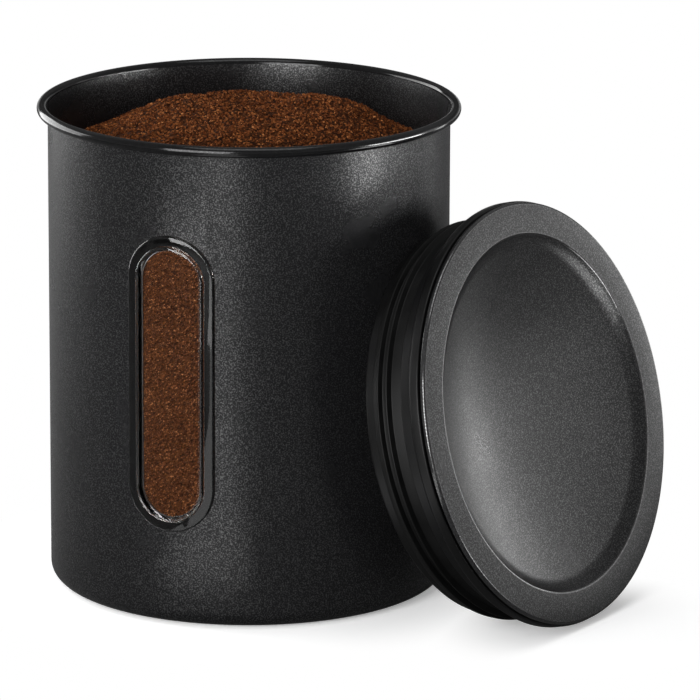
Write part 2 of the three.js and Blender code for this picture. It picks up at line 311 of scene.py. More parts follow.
def powder_coat(name, tones, grain_height, roughness, gloss, speckle_depth):
    material, tree, place = new_material(name)
    grain = add(tree, "ShaderNodeTexNoise", {"Vector": place, "Scale": per(COAT_GRAIN), "Detail": 1.0})
    speckle = add(
        tree, "ShaderNodeTexNoise", {"Vector": place, "Scale": per(COAT_SPECKLE), "Detail": 1.0}
    ).outputs["Fac"]
    cloud = add(tree, "ShaderNodeTexNoise", {"Vector": place, "Scale": per(COAT_CLOUD), "Detail": 3.0})
    colour = ramp(tree, speckle, [(0.35, tones[0]), (0.65, tones[1])])
    glint = add(
        tree,
        "ShaderNodeMapRange",
        {
            "Value": speckle,
            "From Min": GLINT_FROM,
            "From Max": GLINT_TO,
            "To Min": gloss * (1 - GLINT_LOSS * speckle_depth),
            "To Max": gloss * (1 + GLINT_GAIN * speckle_depth),
        },
        interpolation_type="SMOOTHSTEP",
    ).outputs["Result"]
    matt = add(
        tree,
        "ShaderNodeMapRange",
        {
            "Value": cloud.outputs["Fac"],
            "From Min": 0.3,
            "From Max": 0.7,
            "To Min": roughness - MATT_CHANGE,
            "To Max": roughness + MATT_CHANGE,
        },
    ).outputs["Result"]
    bump = add(
        tree,
        "ShaderNodeBump",
        {"Height": grain.outputs["Fac"], "Strength": 1.0, "Distance": grain_height * MM},
    ).outputs["Normal"]
    shader = add(
        tree,
        "ShaderNodeBsdfPrincipled",
        {"Base Color": colour, "Roughness": matt, "Normal": bump, "Specular IOR Level": glint},
    )
    add(tree, "ShaderNodeOutputMaterial", {"Surface": shader.outputs["BSDF"]})
    return material


SANDY = ("#0e0e0f", "#1a1a1b")
SMOOTH = ("#070707", "#0c0c0d")
coat = powder_coat(
    "powder_coated_steel", SANDY, grain_height=0.04, roughness=0.29, gloss=0.45, speckle_depth=1.0
)
lid_coat = powder_coat(
    "powder_coated_lid_steel", SANDY, grain_height=0.024, roughness=0.3, gloss=0.45, speckle_depth=0.8
)
rolled_coat = powder_coat(
    "powder_coat_on_rolled_edge", SMOOTH, grain_height=0.004, roughness=0.13, gloss=0.3, speckle_depth=0.3
)
edge_coat = powder_coat(
    "powder_coat_on_bent_edge", SANDY, grain_height=0.006, roughness=0.14, gloss=1.0, speckle_depth=0.5
)
print("made", coat.name, lid_coat.name, rolled_coat.name, "and", edge_coat.name)

# %% [markdown]
# The can
#
# The wall is one sheet: turned in under the can to make a foot, straight up, and rolled outwards at the
# rim into a bead that keeps the mouth round. A section with one thickness all along says exactly that, so
# the pen walks up the outside, round inside the roll, back over the roll and down the inside.

# %% Turn the can's wall
pen = Pen("can_shell", FOOT - FOOT_FLANGE, 0)
pen.line(FOOT, 0)
pen.arc(FOOT, FOOT_ROUND, 90, 12)
pen.line(BODY, CURL_UP - FLARE_HEIGHT)
pen.line(BODY + FLARE, CURL_UP)
pen.arc(CURL_RING, CURL_UP, -CURL_TURN, 28)
roll_end = math.radians(180 - CURL_TURN)
pen.line(CURL_RING + CURL * math.cos(roll_end), CURL_UP + CURL * math.sin(roll_end))
pen.arc(CURL_RING, CURL_UP, CURL_TURN, 36)
pen.line(MOUTH, CURL_UP - FLARE_HEIGHT)
pen.line(MOUTH, FOOT_ROUND)
pen.arc(FOOT, FOOT_ROUND, -90, 8)
pen.line(FOOT - FOOT_FLANGE, SHEET)
pen.line(FOOT - FOOT_FLANGE, 0)
can_shell = pen.turned()
print(can_shell.name, len(can_shell.data.vertices), "points")

# %% [markdown]
# The window's slot
#
# The slot has straight sides and round ends. It starts as a filled circle whose upper and lower halves are
# pulled apart, is extruded into a bar and cut out of the wall with a Boolean modifier. The same starting
# shape serves the pane and the coffee behind it, so it is a function.

# %% Cut the slot
SLOT_WIDTH = 24
SLOT_HEIGHT = 91
PANE_LOW, PANE_HIGH = size_of("window_pane")
WINDOW_UP = (PANE_LOW.z + PANE_HIGH.z) / 2
END_STEPS = 96


def round_ended(name, width, height, depth):
    """A flat face with round ends, looking along -Y, its middle at this depth on the Y axis."""
    bpy.ops.object.select_all(action="DESELECT")
    bpy.ops.mesh.primitive_circle_add(
        vertices=END_STEPS,
        radius=width / 2 * MM,
        fill_type="NGON",
        location=(0, depth * MM, 0),
        rotation=(math.pi / 2, 0, 0),
    )
    piece = bpy.context.object
    piece.name = name
    piece.data.name = name
    bpy.ops.object.transform_apply(location=True, rotation=True, scale=True)
    bpy.ops.object.mode_set(mode="EDIT")
    for sign in (1, -1):
        pick(lambda p: p.z * sign > 0.01)
        bpy.ops.transform.translate(value=(0, 0, sign * (height - width) / 2 * MM))
    bpy.ops.mesh.select_all(action="SELECT")
    return piece


cutter = round_ended("slot_cutter", SLOT_WIDTH, SLOT_HEIGHT, -0.75 * BODY)
bpy.ops.mesh.extrude_region_move(TRANSFORM_OT_translate={"value": (0, -BODY / 2 * MM, 0)})
bpy.ops.mesh.select_all(action="SELECT")
bpy.ops.transform.translate(value=(0, 0, WINDOW_UP * MM))
bpy.ops.mesh.normals_make_consistent(inside=False)
bpy.ops.object.mode_set(mode="OBJECT")
apply_modifier(can_shell, "BOOLEAN", object=cutter, operation="DIFFERENCE", solver="EXACT")
bpy.data.objects.remove(cutter)
finish_piece(can_shell, coat, "can", "can_wall")

# %% Smoother coat on the rolled rim
can_shell.data.materials.append(rolled_coat)
ROLL_FOOT = CAN_HEIGHT - 2 * CURL
rim_faces = [f for f in can_shell.data.polygons if f.center.z / MM > ROLL_FOOT]
for face in rim_faces:
    face.material_index = 1
print(len(rim_faces), "faces of the rim have the smoother coat")

# %% [markdown]
# The base
#
# The base is a separate pressing that lies on the turned-in foot. It only shows from below, so a plain
# turned section with softened corners is enough.

# %% Turn the base
BASE_SHEET = 0.8
BASE_ROUND = 0.4
SEAT_GAP = 0.3  # clearance between seated pieces
base_low, base_high = size_of("base_panel")
BASE_RIM = base_high.x
BASE_STEP = FOOT - FOOT_FLANGE - SEAT_GAP
BASE_SEAT = base_high.z - BASE_SHEET

pen = Pen("base_pressing", 0, 0)
pen.line(BASE_STEP - BASE_ROUND, 0)
pen.arc(BASE_STEP - BASE_ROUND, BASE_ROUND, 90, 4)
pen.line(BASE_STEP, BASE_SEAT)
pen.line(BASE_RIM, BASE_SEAT)
pen.line(BASE_RIM, BASE_SEAT + BASE_SHEET)
pen.line(BASE_STEP - BASE_SHEET, BASE_SEAT + BASE_SHEET)
pen.line(BASE_STEP - BASE_SHEET, BASE_SHEET)
pen.line(0, BASE_SHEET)
base_pressing = pen.turned()
finish_piece(base_pressing, coat, "can", "base_panel")

# %% [markdown]
# Clear plastic
#
# The window is moulded from clear acrylic or a like plastic: glossy, colourless, bending light a little
# less than glass. A faint slow wave in the surface is what tells a moulding from ground glass. The flange
# lies over the black seat in the wall, so hardly any light comes back through it: that shade is painted
# into the flange as a dark grey tint, which leaves its bright edges. The panel's edge bends light strongly.
# The thin flat panel lets most light straight through, which a lower Alpha says.

# %% Clear moulded plastic
MOULD_WAVE = 9  # mm between the waves of the moulding
WAVE_HEIGHT = 0.02  # mm


def clear_acrylic(name, tint, alpha, gloss):
    material, tree, place = new_material(name)
    wave = add(tree, "ShaderNodeTexNoise", {"Vector": place, "Scale": per(MOULD_WAVE), "Detail": 1.0})
    ripple = add(
        tree,
        "ShaderNodeBump",
        {"Height": wave.outputs["Fac"], "Strength": 0.35, "Distance": WAVE_HEIGHT * MM},
    )
    shader = add(
        tree,
        "ShaderNodeBsdfPrincipled",
        {
            "Base Color": linear(tint),
            "Roughness": 0.03,
            "IOR": 1.49,
            "Transmission Weight": 1.0,
            "Alpha": alpha,
            "Specular IOR Level": gloss,
            "Normal": ripple.outputs["Normal"],
        },
    )
    add(tree, "ShaderNodeOutputMaterial", {"Surface": shader.outputs["BSDF"]})
    return material


# The flange's dark grey tint is painted shade: the seat under it sends hardly any light back.
flange_acrylic = clear_acrylic("acrylic_flange_with_painted_shade", "#6a6a6a", 1.0, 0.26)
thick_acrylic = clear_acrylic("clear_moulded_acrylic", "#fbfbfa", 1.0, 0.4)
thin_acrylic = clear_acrylic("clear_acrylic_panel", "#fbfbfa", 0.1, 0.5)
print("made", flange_acrylic.name, thick_acrylic.name, "and", thin_acrylic.name)

# %% [markdown]
# The window pane
#
# The pane is a shallow tray: a flange that laps over the wall outside, a panel that stands slightly proud,
# and a hollow body that fills the slot. It is modelled flat, where insets and extrusions are easy, then
# cut into narrow strips and bent round the can by a Simple Deform modifier. Then each of its three zones,
# flange, panel edge and panel, gets its own clear plastic, picked by the distance from the slot's middle line.

# %% Model the pane flat
PANE_LAP = 0.05  # gap between the flange and the coat
FLANGE_FACE = 1.0  # mm that the flange stands off the wall
PANEL_FACE = 1.9
FLANGE_ROUND = 0.85
PANEL_ROUND = 0.8
PANE_WALL = 2
PANE_SIDE = 1.2  # wall round the hollow
HOLLOW_ROUND = 0.6
PANE_TAIL = 4.0  # mm that the body reaches in behind the wall's outside
SUPPORT = 0.4  # mm, narrow border that keeps the smooth shading of a round off the flat face beside it
STRIP = 0.8  # mm, width of the strips that are bent
PANE_HEIGHT = PANE_HIGH.z - PANE_LOW.z
PANE_WIDTH = 2 * BODY * math.asin(PANE_HIGH.x / (BODY + FLANGE_FACE))
LAP = (PANE_HEIGHT - SLOT_HEIGHT) / 2


def push(distance):
    """Extrudes the picked faces along Y, in mm."""
    bpy.ops.mesh.extrude_region_move(TRANSFORM_OT_translate={"value": (0, distance * MM, 0)})


def round_border(radius, steps):
    """Bevels the border of the picked faces."""
    bpy.ops.mesh.region_to_loop()
    bpy.ops.mesh.bevel(offset=radius * MM, segments=steps, affect="EDGES", clamp_overlap=True)


def bend(piece, width):
    """Bends a flat piece of this width (m) about the can's axis; its y = 0 becomes the wall."""
    apply_modifier(piece, "SIMPLE_DEFORM", deform_method="BEND", deform_axis="Z", angle=width / (BODY * MM))
    piece.location = (0, -BODY * MM, WINDOW_UP * MM)
    activate(piece)
    bpy.ops.object.transform_apply(location=True, rotation=True, scale=True)


def bend_in_strips(piece):
    """Cuts a flat piece into strips, so that it bends smoothly, and bends it."""
    width = max(v.co.x for v in piece.data.vertices) * 2
    activate(piece)
    bpy.ops.object.mode_set(mode="EDIT")
    cuts = int(width / MM / STRIP)
    for i in range(1, cuts):
        bpy.ops.mesh.select_all(action="SELECT")
        bpy.ops.mesh.bisect(plane_co=(width * (i / cuts - 0.5), 0, 0), plane_no=(1, 0, 0))
    bpy.ops.object.mode_set(mode="OBJECT")
    bend(piece, width)


pane = round_ended("window_moulding", PANE_WIDTH, PANE_HEIGHT, -PANE_LAP)
push(PANE_LAP - FLANGE_FACE)
pick(lambda p, n: n.y < -0.9, faces=True)
round_border(FLANGE_ROUND, 6)
pick(lambda p, n: n.y < -0.9 and p.y < -FLANGE_FACE + 0.01, faces=True)
bpy.ops.mesh.inset(thickness=(LAP + SEAT_GAP - FLANGE_ROUND) * MM)
push(FLANGE_FACE - PANEL_FACE)
round_border(PANEL_ROUND, 4)
pick(lambda p, n: n.y < -0.99 and p.y < -PANEL_FACE + 0.01, faces=True)
bpy.ops.mesh.inset(thickness=SUPPORT * MM)
pick(lambda p, n: n.y > 0.9 and abs(p.y + PANE_LAP) < 0.01, faces=True)
bpy.ops.mesh.inset(thickness=(LAP + SEAT_GAP) * MM)
push(PANE_LAP + PANE_TAIL)
bpy.ops.mesh.inset(thickness=PANE_SIDE * MM)
push(PANE_WALL - PANEL_FACE - PANE_TAIL)
round_border(HOLLOW_ROUND, 4)
pick(lambda p, n: n.y > 0.99 and p.y < PANE_WALL - PANEL_FACE + 0.01, faces=True)
bpy.ops.mesh.inset(thickness=SUPPORT * MM)
bpy.ops.mesh.select_all(action="SELECT")
bpy.ops.mesh.normals_make_consistent(inside=False)
bpy.ops.object.mode_set(mode="OBJECT")
bend_in_strips(pane)
finish_piece(pane, flange_acrylic, "can", "window_pane")

# %% Panel and its edge inside the flange
PANEL_MARGIN = 0.7  # mm of the panel beside the hollow's wall that counts as its edge
REACH_SLACK = 0.02
EDGE_REACH = SLOT_WIDTH / 2 - SEAT_GAP + REACH_SLACK
PANEL_REACH = SLOT_WIDTH / 2 - SEAT_GAP - PANE_SIDE - PANEL_MARGIN
pane.data.materials.append(thick_acrylic)
pane.data.materials.append(thin_acrylic)
for face in pane.data.polygons:
    spot = face.center / MM
    along = BODY * math.atan2(spot.x, -spot.y)
    past = max(abs(spot.z - WINDOW_UP) - (SLOT_HEIGHT - SLOT_WIDTH) / 2, 0)
    reach = math.hypot(along, past)
    face.material_index = (reach < EDGE_REACH) + (reach < PANEL_REACH)
print(sum(f.material_index == 2 for f in pane.data.polygons), "faces of the pane are thin panel")

# %% [markdown]
# Black plastic and silicone
#
# The lid's plug and the frame behind the window are moulded black plastic with a satin, lightly
# spark-eroded skin. The seals are silicone rubber: softer, a little duller, with a faint bloom of dust.

# %% Black plastic and silicone
EROSION = 0.4  # mm, grain of the mould's skin, drawn coarser than the real 0.1
BLOOM = 6  # mm, patches of dust on silicone


def moulded_black(name, dark, pale, roughness, gloss, grain_height, patch):
    material, tree, place = new_material(name)
    grain = add(
        tree, "ShaderNodeTexNoise", {"Vector": place, "Scale": per(EROSION), "Detail": 2.0}
    ).outputs["Fac"]
    bloom = add(
        tree, "ShaderNodeTexNoise", {"Vector": place, "Scale": per(patch), "Detail": 4.0}
    ).outputs["Fac"]
    colour = ramp(tree, bloom, [(0.35, dark), (0.75, pale)])
    matt = add(
        tree,
        "ShaderNodeMapRange",
        {"Value": bloom, "From Min": 0.3, "From Max": 0.7, "To Min": roughness, "To Max": roughness + 0.08},
    ).outputs["Result"]
    bump = add(
        tree, "ShaderNodeBump", {"Height": grain, "Strength": 1.0, "Distance": grain_height * MM}
    ).outputs["Normal"]
    shader = add(
        tree,
        "ShaderNodeBsdfPrincipled",
        {"Base Color": colour, "Roughness": matt, "Normal": bump, "Specular IOR Level": gloss},
    )
    add(tree, "ShaderNodeOutputMaterial", {"Surface": shader.outputs["BSDF"]})
    return material


black_plastic = moulded_black("moulded_black_abs", "#060606", "#0b0b0c", 0.34, 0.25, 0.006, 12)
black_silicone = moulded_black("black_silicone_rubber", "#050505", "#0a0a0a", 0.42, 0.2, 0.008, BLOOM)
for name, finish in (("window_retainer", black_plastic), ("window_gasket", black_silicone)):
    frame["nodes"][name].data.materials.clear()
    frame["nodes"][name].data.materials.append(finish)
print("made", black_plastic.name, "and", black_silicone.name)

# %% [markdown]
# The lid's top
#
# The top is one pressed steel sheet: a flat border with a turned-down edge, and a wide bowl. The bowl is a
# small round lip, a short curved wall and a long, gently curved floor, each arc running into the next. Its
# soft curve is what catches the light, so the arcs are drawn with many steps.

# %% Turn the lid's top
LID_RADIUS, LID_FRONT, DISH_BACK = lid_measure("lid_top")
LID_HEM = 1.9
EDGE_ROUND = 0.8
HEM_ROUND = 0.55
DISH_RADIUS = 58
LIP_ROUND = 1.2
WALL_SLOPE = 45  # degrees
WALL_ROUND = 12
WALL_RADIUS = DISH_RADIUS - (LIP_ROUND + WALL_ROUND) * math.sin(math.radians(WALL_SLOPE))
WALL_UP = (LIP_ROUND + WALL_ROUND) * math.cos(math.radians(WALL_SLOPE)) - LIP_ROUND
BOWL_ROUND = 168
BOWL_SLOPE = math.degrees(math.asin(WALL_RADIUS / (BOWL_ROUND - WALL_ROUND)))
BOWL_UP = DISH_BACK + SHEET + BOWL_ROUND

pen = Pen("lid_pressing", 0, DISH_BACK)
pen.arc(0, BOWL_UP, BOWL_SLOPE, 40)
pen.arc(WALL_RADIUS, WALL_UP, WALL_SLOPE - BOWL_SLOPE, 12)
pen.arc(DISH_RADIUS, -LIP_ROUND, -WALL_SLOPE, 6)
pen.line(LID_RADIUS - SHEET, -SHEET)
pen.line(LID_RADIUS - SHEET, -LID_HEM)
pen.line(LID_RADIUS - HEM_ROUND, -LID_HEM)
pen.arc(LID_RADIUS - HEM_ROUND, HEM_ROUND - LID_HEM, 90, 5)
pen.line(LID_RADIUS, -EDGE_ROUND)
pen.arc(LID_RADIUS - EDGE_ROUND, -EDGE_ROUND, 90, 6)
pen.line(DISH_RADIUS, 0)
pen.arc(DISH_RADIUS, -LIP_ROUND, WALL_SLOPE, 8)
pen.arc(WALL_RADIUS, WALL_UP, BOWL_SLOPE - WALL_SLOPE, 16)
pen.arc(0, BOWL_UP, -BOWL_SLOPE, 48)
print(f"dish {-pen.at[1]:.2f} mm deep")
lid_pressing = pen.turned()
move_to_lid(lid_pressing)
finish_piece(lid_pressing, lid_coat, "lid", "lid_top")

# %% Smoother coat on the lid's edge and lip
LIP_BAND = 0.4  # mm, half the width of the smoother ring on the dish's lip
lid_pressing.data.materials.append(edge_coat)
home = LID_PLACE.inverted()
for face in lid_pressing.data.polygons:
    spot = home @ face.center / MM
    radius = math.hypot(spot.x, spot.y)
    on_lip = abs(radius - DISH_RADIUS + LIP_BAND) < LIP_BAND and spot.z > -LIP_ROUND / 2
    if radius > LID_RADIUS - EDGE_ROUND or on_lip:
        face.material_index = 1
print(sum(f.material_index for f in lid_pressing.data.polygons), "faces of the lid have the smoother coat")

# %% [markdown]
# The lid's plug
#
# Under the steel top sits a moulded plug: a wide skirt that rests on the can's rim, a land that guides it
# into the mouth, a groove for the seal and a flange that keeps the seal on. Each step has a small round,
# because a mould has no sharp corners, and those rounds draw the thin bright lines round the lid.

# %% Turn the plug
FACET = 0.12  # mm, keeps the smooth circle inside the facets of the CAD one
SKIRT_RADIUS, SKIRT_FRONT, PLUG_BACK = lid_measure("lid_plug")
SKIRT_RADIUS -= FACET
SEAL_RADIUS, SEAL_FRONT, SEAL_BACK = lid_measure("lid_seal")
SKIRT_BACK = -6.2
SKIRT_ROUND = 1.4
SKIRT_EDGE = 0.4
LAND_PLAY = 0.35  # mm between the land and the mouth
GROOVE_DEPTH = 3.15  # mm that the seal's groove is cut into the land
FLANGE_STEP = 1.65
PLUG_WALL = 2.3
LAND_RADIUS = MOUTH - LAND_PLAY
LAND_BACK = SEAL_FRONT + SEAT_GAP
LAND_ROUND = 0.4
SEAT_RADIUS = LAND_RADIUS - GROOVE_DEPTH
FLANGE_RADIUS = LAND_RADIUS - FLANGE_STEP
FLANGE_FRONT = SEAL_BACK - SEAT_GAP
PLUG_ROUND = 1.2
PLUG_BORE = SEAT_RADIUS - PLUG_WALL
PLUG_FLOOR = 2
SKIRT_LEDGE = -LID_HEM - SEAT_GAP

pen = Pen("plug_moulding", 0, PLUG_BACK)
pen.line(FLANGE_RADIUS - PLUG_ROUND, PLUG_BACK)
pen.arc(FLANGE_RADIUS - PLUG_ROUND, PLUG_BACK + PLUG_ROUND, 90, 6)
pen.line(FLANGE_RADIUS, FLANGE_FRONT)
pen.line(SEAT_RADIUS, FLANGE_FRONT)
pen.line(SEAT_RADIUS, LAND_BACK)
pen.line(LAND_RADIUS - LAND_ROUND, LAND_BACK)
pen.arc(LAND_RADIUS - LAND_ROUND, LAND_BACK + LAND_ROUND, 90, 5)
pen.line(LAND_RADIUS, SKIRT_BACK)
pen.line(SKIRT_RADIUS - SKIRT_ROUND, SKIRT_BACK)
pen.arc(SKIRT_RADIUS - SKIRT_ROUND, SKIRT_BACK + SKIRT_ROUND, 90, 8)
pen.line(SKIRT_RADIUS, SKIRT_LEDGE - SKIRT_EDGE)
pen.arc(SKIRT_RADIUS - SKIRT_EDGE, SKIRT_LEDGE - SKIRT_EDGE, 90, 6)
pen.line(LID_RADIUS - SHEET - SEAT_GAP, SKIRT_LEDGE)
pen.line(LID_RADIUS - SHEET - SEAT_GAP, SKIRT_FRONT)
pen.line(PLUG_BORE, SKIRT_FRONT)
pen.line(PLUG_BORE, PLUG_BACK + PLUG_FLOOR)
pen.line(0, PLUG_BACK + PLUG_FLOOR)
plug_moulding = pen.turned()
move_to_lid(plug_moulding)
finish_piece(plug_moulding, black_plastic, "lid", "lid_plug")

# %% [markdown]
# The lid's seal
#
# The seal is a rubber sleeve with a thin lip and a broad lip. Both stand out a little past the mouth, so
# they squeeze when the lid goes in. All its corners are softened at once with a vertex bevel.

# %% Turn the seal
SLEEVE = 1.7  # thickness of the sleeve
SEAL_ROUND = 0.2
BAND_HEIGHT = 2.3
BAND_LEAD = 0.5
BAND_TAPER = 0.6
LIP_BACK = -17
LIP_TIP = 0.5
LIP_ROOT = 1.8
SEAL_INNER = SEAT_RADIUS + SEAT_GAP
SEAL_BODY = SEAL_INNER + SLEEVE

pen = Pen("seal_ring", SEAL_INNER, SEAL_BACK)
pen.line(SEAL_RADIUS - BAND_TAPER, SEAL_BACK)
pen.line(SEAL_RADIUS, SEAL_BACK + BAND_HEIGHT)
pen.line(SEAL_BODY, SEAL_BACK + BAND_HEIGHT + BAND_LEAD)
pen.line(SEAL_BODY, LIP_BACK - LIP_ROOT / 2)
pen.line(SEAL_RADIUS, LIP_BACK - LIP_TIP / 2)
pen.line(SEAL_RADIUS, LIP_BACK + LIP_TIP / 2)
pen.line(SEAL_BODY, LIP_BACK + LIP_ROOT / 2)
pen.line(SEAL_BODY, SEAL_FRONT)
pen.line(SEAL_INNER, SEAL_FRONT)
pen.line(SEAL_INNER, SEAL_BACK)
pen.soften(SEAL_ROUND, 3)
seal_ring = pen.turned()
move_to_lid(seal_ring)
finish_piece(seal_ring, black_silicone, "lid", "lid_seal")

# %% [markdown]
# Ground coffee
#
# The can is full: a heap of medium-ground coffee stands in the mouth, and the same coffee is pressed
# against the window. It is dry crumbs of a few tenths of a millimetre to a millimetre, each a little
# lighter or darker than the next. The loose crumbs are small solids, and each takes one random tone. The
# packed coffee under them shows only as the gaps between crumbs, whose shade is painted into dark tones on
# the cells of a Voronoi pattern.

# %% Ground coffee
CRUMB = 0.6  # mm
CRUMB_BUMP = 0.3  # mm
# Dark tones of the coffee under the crumbs: painted shade of the gaps between them.
PAINTED_GAP_SHADE_TONES = [(0.0, "#1a0d06"), (0.5, "#351a0c"), (1.0, "#523018")]
LOOSE_TONES = [(0.0, "#3a1d0e"), (0.45, "#633419"), (0.8, "#7d4826"), (0.96, "#945b32"), (1.0, "#bd7d4c")]
# Darker tones, with more contrast, for the crumbs behind the window.
DARKER_WINDOW_TONES = [(0.0, "#120803"), (0.4, "#3a1c0c"), (0.75, "#60371d"), (0.92, "#8c5a33"), (1.0, "#cc9160")]


def coffee(name, tones, loose):
    material, tree, place = new_material(name)
    if loose:
        tone = add(tree, "ShaderNodeNewGeometry").outputs["Random Per Island"]
        relief = add(
            tree, "ShaderNodeTexNoise", {"Vector": place, "Scale": per(CRUMB / 2), "Detail": 3.0}
        ).outputs["Fac"]
    else:
        cells = add(tree, "ShaderNodeTexVoronoi", {"Vector": place, "Scale": per(CRUMB)})
        tone = add(tree, "ShaderNodeSeparateColor", {"Color": cells.outputs["Color"]}).outputs["Red"]
        relief = cells.outputs["Distance"]
    bump = add(
        tree,
        "ShaderNodeBump",
        {"Height": relief, "Strength": 0.9, "Distance": CRUMB_BUMP * MM},
        invert=not loose,
    )
    shader = add(
        tree,
        "ShaderNodeBsdfPrincipled",
        {
            "Base Color": ramp(tree, tone, tones),
            "Roughness": 0.75,
            "Specular IOR Level": 0.05,
            "Normal": bump.outputs["Normal"],
        },
    )
    add(tree, "ShaderNodeOutputMaterial", {"Surface": shader.outputs["BSDF"]})
    return material


# The packed coffee's colour is painted shade of the gaps between crumbs.
coffee_with_painted_gap_shade = coffee("ground_coffee_painted_gap_shade", PAINTED_GAP_SHADE_TONES, loose=False)
heap_crumbs = coffee("ground_coffee_loose_crumbs", LOOSE_TONES, loose=True)
darker_window_crumbs = coffee("ground_coffee_darker_window_crumbs", DARKER_WINDOW_TONES, loose=True)
print("made", coffee_with_painted_gap_shade.name, heap_crumbs.name, "and", darker_window_crumbs.name)

# %% [markdown]
# The heap
#
# Poured coffee settles at its angle of repose, with a rounded top. The heap is turned like the can, with a
# closely stepped top, and then loses its perfect roundness: a few places are pulled up and down with
# proportional editing, and three Displace modifiers add lumps, clumps and crumbs, in height only so that
# nothing goes through the wall.

# %% Turn and shape the heap
HEAP_TOP = 155.8
HEAP_FLAT = 33  # radius where the top bends into the slope
HEAP_SLOPE = 0.5
HEAP_BEND = 9  # softness of that bend
HEAP_STEPS = 92
HEAP_SIDE = MOUTH - 0.4
COLUMN = -size_of("window_retainer")[1].y - 1  # radius of the coffee below the heap, inside the frame
COLUMN_TOP = PANE_HIGH.z + 2
COLUMN_FOOT = base_high.z + 0.3


def heap_height(radius):
    past = radius - HEAP_FLAT
    return HEAP_TOP - HEAP_SLOPE * (past + math.hypot(past, HEAP_BEND)) / 2


pen = Pen("coffee_heap", 0, COLUMN_FOOT)
pen.line(COLUMN, COLUMN_FOOT)
pen.line(COLUMN, COLUMN_TOP)
pen.line(HEAP_SIDE, COLUMN_TOP)
for i in range(HEAP_STEPS, -1, -1):
    radius = HEAP_SIDE * i / HEAP_STEPS
    pen.line(radius, heap_height(radius))
heap = pen.turned()
print("heap from", round(heap_height(HEAP_SIDE), 1), "to", round(heap_height(0), 1), "mm")

# %% Make the heap uneven
CAMERA_TURN = 22.7  # degrees from -Y towards +X, the side that the heap is seen from
HEAP_PULLS = [  # to the right and away as seen from the camera, how far up, how wide (mm)
    (30, 12, 2.2, 22),
    (-22, 16, 1.2, 16),
    (-12, 2, 1.2, 14),
    (24, 4, -1.4, 10),
    (-38, 6, -0.8, 18),
]
PULL_SPOT = 1.2  # mm, points this near are pulled themselves
seen_right = Vector((math.cos(math.radians(CAMERA_TURN)), math.sin(math.radians(CAMERA_TURN)), 0))
seen_away = Vector((-seen_right.y, seen_right.x, 0))
activate(heap)
bpy.ops.object.mode_set(mode="EDIT")
for right, away, rise, width in HEAP_PULLS:
    spot = seen_right * right + seen_away * away
    pick(lambda p: p.z > COLUMN_TOP + 1 and (p.xy - spot.xy).length < PULL_SPOT)
    bpy.ops.transform.translate(
        value=(0, 0, rise * MM),
        use_proportional_edit=True,
        proportional_edit_falloff="SMOOTH",
        proportional_size=width * MM,
        use_proportional_connected=True,
    )
bpy.ops.object.mode_set(mode="OBJECT")
top_group = heap.vertex_groups.new(name="top")
top_group.add([v.index for v in heap.data.vertices if v.co.z / MM > COLUMN_TOP + 1], 1.0, "REPLACE")
for label, size, height in (("lumps", 7.0, 1.8), ("clumps", 2.6, 1.6), ("crumbs", 1.1, 0.8)):
    texture = bpy.data.textures.new("coffee_" + label, type="CLOUDS")
    texture.noise_scale = size * MM
    texture.noise_depth = 2
    apply_modifier(
        heap,
        "DISPLACE",
        texture=texture,
        texture_coords="LOCAL",
        direction="Z",
        strength=height * MM,
        mid_level=0.5,
        vertex_group="top",
    )
finish_piece(heap, coffee_with_painted_gap_shade, "can")

# %% [markdown]
# Coffee in the window
#
# Behind the pane the coffee fills the hollow of the moulding. A round-ended block is remeshed into small
# even squares, roughened with the same crumbs, and bent round the can like the pane.

# %% Fill the window
FILL_GAP = 0.15
CRUMB_ROOM = 0.6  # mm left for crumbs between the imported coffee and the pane
FILL_FACE = PANEL_FACE - PANE_WALL - CRUMB_ROOM  # mm outside the wall's outer skin
FILL_WIDTH = SLOT_WIDTH - 2 * (SEAT_GAP + PANE_SIDE + FILL_GAP)
FILL_HEIGHT = SLOT_HEIGHT - 2 * (SEAT_GAP + PANE_SIDE + FILL_GAP)
FILL_BACK = BODY - COLUMN + 1
FILL_STEP = 0.45
FILL_SETBACK = 0.35  # mm, room for the roughened face
FILL_GRAIN = 1.0  # mm
FILL_RELIEF = 0.5  # mm

fill = round_ended("coffee_in_window", FILL_WIDTH, FILL_HEIGHT, -FILL_FACE + FILL_SETBACK)
push(FILL_BACK)
bpy.ops.mesh.select_all(action="SELECT")
bpy.ops.mesh.normals_make_consistent(inside=False)
bpy.ops.object.mode_set(mode="OBJECT")
apply_modifier(fill, "REMESH", mode="VOXEL", voxel_size=FILL_STEP * MM)
crumb_texture = bpy.data.textures.new("coffee_window_crumbs", type="CLOUDS")
crumb_texture.noise_scale = FILL_GRAIN * MM
apply_modifier(
    fill,
    "DISPLACE",
    texture=crumb_texture,
    texture_coords="LOCAL",
    direction="NORMAL",
    strength=FILL_RELIEF * MM,
    mid_level=0.6,
)
sides = [v.co.x for v in fill.data.vertices]
bend(fill, max(sides) - min(sides))
finish_piece(fill, coffee_with_painted_gap_shade, "can")

# %% [markdown]
# Loose crumbs
#
# The edge of a heap looks like coffee only if single crumbs stand out against the wall behind it. One
# faceted crumb is modelled, and a small Geometry Nodes tree sows turned and stretched copies of it over
# the parts of the coffee that face a given way.

# %% Sow crumbs
CRUMB_RADIUS = 0.5  # mm, before each copy is stretched
CRUMB_JAG = 0.16  # mm that its points are moved at random
bpy.ops.object.select_all(action="DESELECT")
bpy.ops.mesh.primitive_uv_sphere_add(segments=4, ring_count=2, radius=CRUMB_RADIUS * MM)
crumb = bpy.context.object
bpy.ops.object.mode_set(mode="EDIT")
bpy.ops.transform.vertex_random(offset=CRUMB_JAG * MM, seed=4)
bpy.ops.object.mode_set(mode="OBJECT")


